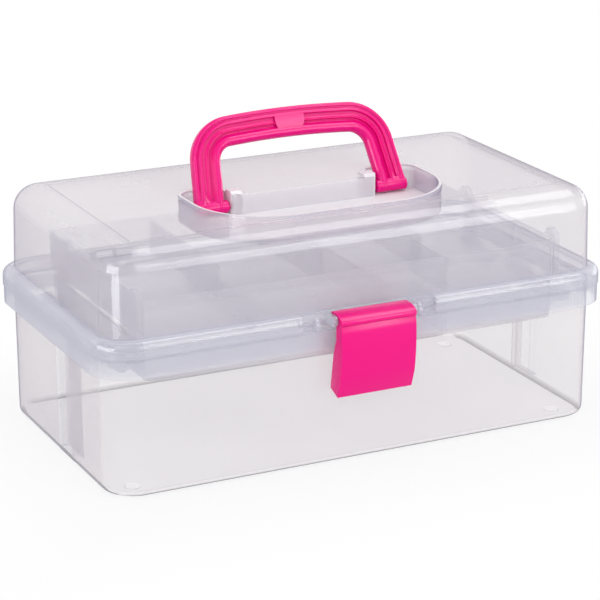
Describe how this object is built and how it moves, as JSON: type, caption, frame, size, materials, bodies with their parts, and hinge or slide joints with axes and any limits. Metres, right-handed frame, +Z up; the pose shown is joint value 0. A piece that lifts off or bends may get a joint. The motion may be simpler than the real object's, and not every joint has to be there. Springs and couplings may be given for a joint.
{
  "type": "compartment storage box",
  "caption": "Clear carry box with a hinged lid, lifting compartment trays on link arms, a folding handle and a snap latch.",
  "frame": {"origin": "on the surface the box stands on, below the middle of the box", "axes": "+Z up, X along the box, -Y towards the latch, +Y towards the lid's hinges"},
  "size_m": [0.33, 0.2037, 0.1883],
  "materials": {
    "clear_plastic": "milky clear polypropylene",
    "tray_plastic": "milky clear polypropylene",
    "pink_plastic": "moulded, satin gloss",
    "pin_steel": "drawn wire"
  },
  "bodies": {
    "base": {"base_tub": "clear_plastic", "base_studs": "tray_plastic", "hinge_pin_left": "pin_steel", "hinge_pin_right": "pin_steel"},
    "lid": {"lid": "clear_plastic", "latch_pin": "clear_plastic"},
    "handle": {"handle": "pink_plastic"},
    "latch": {"latch": "pink_plastic"},
    "front_arms": {"front_arm_left": "tray_plastic", "front_arm_right": "tray_plastic"},
    "rear_arms": {"rear_arm_left": "tray_plastic", "rear_arm_right": "tray_plastic"},
    "upper_tray": {"upper_tray": "tray_plastic", "upper_tray_front_studs": "tray_plastic", "upper_tray_rear_studs": "tray_plastic"},
    "lower_tray": {"lower_tray": "tray_plastic", "lower_tray_studs": "tray_plastic"}
  },
  "joints": [
    {"name": "lid_hinge", "type": "hinge", "parent": "base", "child": "lid", "pos_m": [0, 0.0973, 0.084], "axis": [-1, 0, 0], "range_deg": [0, 105]},
    {"name": "front_arm_pivot", "type": "hinge", "parent": "base", "child": "front_arms", "pos_m": [0, -0.006, 0.078], "axis": [-1, 0, 0], "range_deg": [0, 105]},
    {"name": "rear_arm_pivot", "type": "hinge", "parent": "base", "child": "rear_arms", "pos_m": [0, 0.048, 0.078], "axis": [-1, 0, 0], "range_deg": [0, 105]},
    {"name": "upper_tray_pivot", "type": "hinge", "parent": "lid", "child": "upper_tray", "pos_m": [0, 0.036, 0.082], "axis": [-1, 0, 0], "range_deg": [-105, 0]},
    {"name": "lower_tray_pivot", "type": "hinge", "parent": "front_arms", "child": "lower_tray", "pos_m": [0, -0.03339, 0.07218], "axis": [-1, 0, 0], "range_deg": [-105, 0]},
    {"name": "handle_pivot", "type": "hinge", "parent": "lid", "child": "handle", "pos_m": [0, -0.0018, 0.1378], "axis": [1, 0, 0], "range_deg": [0, 116]},
    {"name": "latch_pivot", "type": "hinge", "parent": "lid", "child": "latch", "pos_m": [0, -0.0948, 0.091], "axis": [-1, 0, 0], "range_deg": [0, 100]}
  ],
  "couplings": [
    {"joint": "front_arm_pivot", "follows": "lid_hinge", "ratio": 1},
    {"joint": "rear_arm_pivot", "follows": "lid_hinge", "ratio": 1},
    {"joint": "upper_tray_pivot", "follows": "lid_hinge", "ratio": -1},
    {"joint": "lower_tray_pivot", "follows": "lid_hinge", "ratio": -1}
  ]
}
